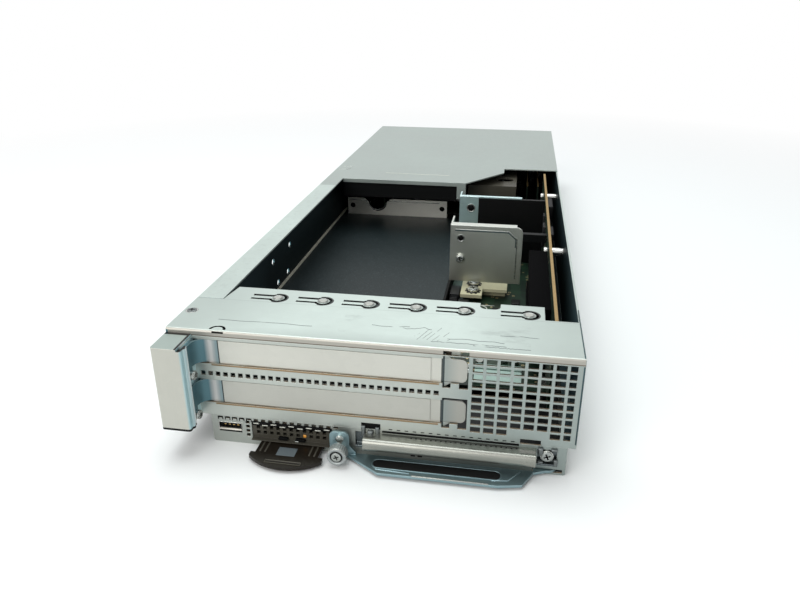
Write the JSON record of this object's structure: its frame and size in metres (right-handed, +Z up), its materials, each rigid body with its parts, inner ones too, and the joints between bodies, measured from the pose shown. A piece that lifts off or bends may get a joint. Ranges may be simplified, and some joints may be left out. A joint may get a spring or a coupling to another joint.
{
  "type": "server node",
  "caption": "Half-width sheet-metal server node with an open card bay, perforated front with covered card slots, a swinging release handle and a slide-out label tab.",
  "frame": {"origin": "on the flat base, midway between the tray's sides and midway between its front and rear faces", "axes": "+Z up, -Y out of the front face with the slots, +X to the right seen from the front"},
  "size_m": [0.1826, 0.5308, 0.0584],
  "materials": {
    "galvanised": "bright zinc-plated sheet steel with faint scratches",
    "face_steel": "zinc-plated sheet steel, cooler and a little duller",
    "cover_steel": "warm light grey plated slot covers",
    "bracket_steel": "plain plated bracket steel",
    "black_steel": "matt black finish inside the tray",
    "liner_film": "charcoal insulating film with a fine grain",
    "zinc_handle": "teal-grey plated handle steel",
    "bright_steel": "bright plated fasteners and port shell",
    "board_green": "green circuit board",
    "connector_black": "black moulded connector",
    "connector_beige": "beige moulded connector",
    "status_plastic": "grey-brown moulded plastic",
    "tab_plastic": "dark brown-black glossy plastic",
    "fin_aluminium": "bare aluminium fins",
    "strip_black": "bare black strip"
  },
  "bodies": {
    "chassis": {"adapter_bar": "face_steel", "adapter_clips": "face_steel", "adapter_screw": "bright_steel", "bay_floor": "black_steel", "bay_liner": "liner_film", "bay_rear_bracket": "bracket_steel", "board_brace": "black_steel", "board_screws": "bright_steel", "board_standoffs": "bright_steel", "button_switches": "connector_black", "card_guide_plate": "connector_black", "card_sockets": "connector_black", "corner_guard": "galvanised", "front_face_plate": "face_steel", "front_top_plate": "galvanised", "handle_pivot": "bright_steel", "heat_sink": "fin_aluminium", "left_side_wall": "galvanised", "lower_front_panel": "face_steel", "lower_pan": "galvanised", "memory_modules": "board_green", "memory_sockets": "connector_black", "port_board": "board_green", "port_board_standoffs": "bright_steel", "power_connector": "connector_black", "power_socket": "connector_beige", "power_socket_screws": "bright_steel", "processor": "bright_steel", "processor_socket": "connector_black", "rear_baffle": "black_steel", "rear_shroud": "status_plastic", "rear_top_cover": "galvanised", "rear_wall": "galvanised", "right_side_wall": "galvanised", "riser_bracket_front": "bracket_steel", "riser_bracket_rear": "bracket_steel", "riser_bracket_screw": "bright_steel", "riser_socket": "connector_black", "side_board": "board_green", "side_board_posts": "bright_steel", "side_board_screws": "bright_steel", "signal_connector": "connector_black", "slot_cover_lower": "cover_steel", "slot_cover_screws": "bright_steel", "slot_cover_upper": "cover_steel", "status_panel": "status_plastic", "system_board": "board_green", "tab_guides": "connector_black", "top_plate_screw": "bright_steel", "usb_shell": "bright_steel", "usb_tongue": "connector_black"},
    "handle": {"release_handle": "zinc_handle", "handle_label_strip": "strip_black", "thumbscrew_ferrule": "bright_steel", "handle_rivet": "bright_steel"},
    "thumbscrew": {"handle_thumbscrew": "bright_steel"},
    "tab": {"label_tab": "tab_plastic"},
    "power_key": {"power_button": "connector_black"},
    "locate_key": {"locate_button": "connector_black"}
  },
  "joints": [
    {"name": "handle_swing", "type": "hinge", "parent": "chassis", "child": "handle", "pos_m": [0.07915, -0.2518, 0.0019], "axis": [0, 0, 1], "range_deg": [0, 74]},
    {"name": "thumbscrew_turn", "type": "hinge", "parent": "handle", "child": "thumbscrew", "pos_m": [-0.01225, -0.265, 0.006], "axis": [0, -1, 0], "continuous": true},
    {"name": "label_tab_slide", "type": "slide", "parent": "chassis", "child": "tab", "axis": [0, -1, 0], "range_m": [-0.009, 0.02]},
    {"name": "power_button_press", "type": "slide", "parent": "chassis", "child": "power_key", "axis": [0, 1, 0], "range_m": [0, 0.001], "stiffness_N_per_m": 500},
    {"name": "locate_button_press", "type": "slide", "parent": "chassis", "child": "locate_key", "axis": [0, 1, 0], "range_m": [0, 0.001], "stiffness_N_per_m": 500}
  ]
}
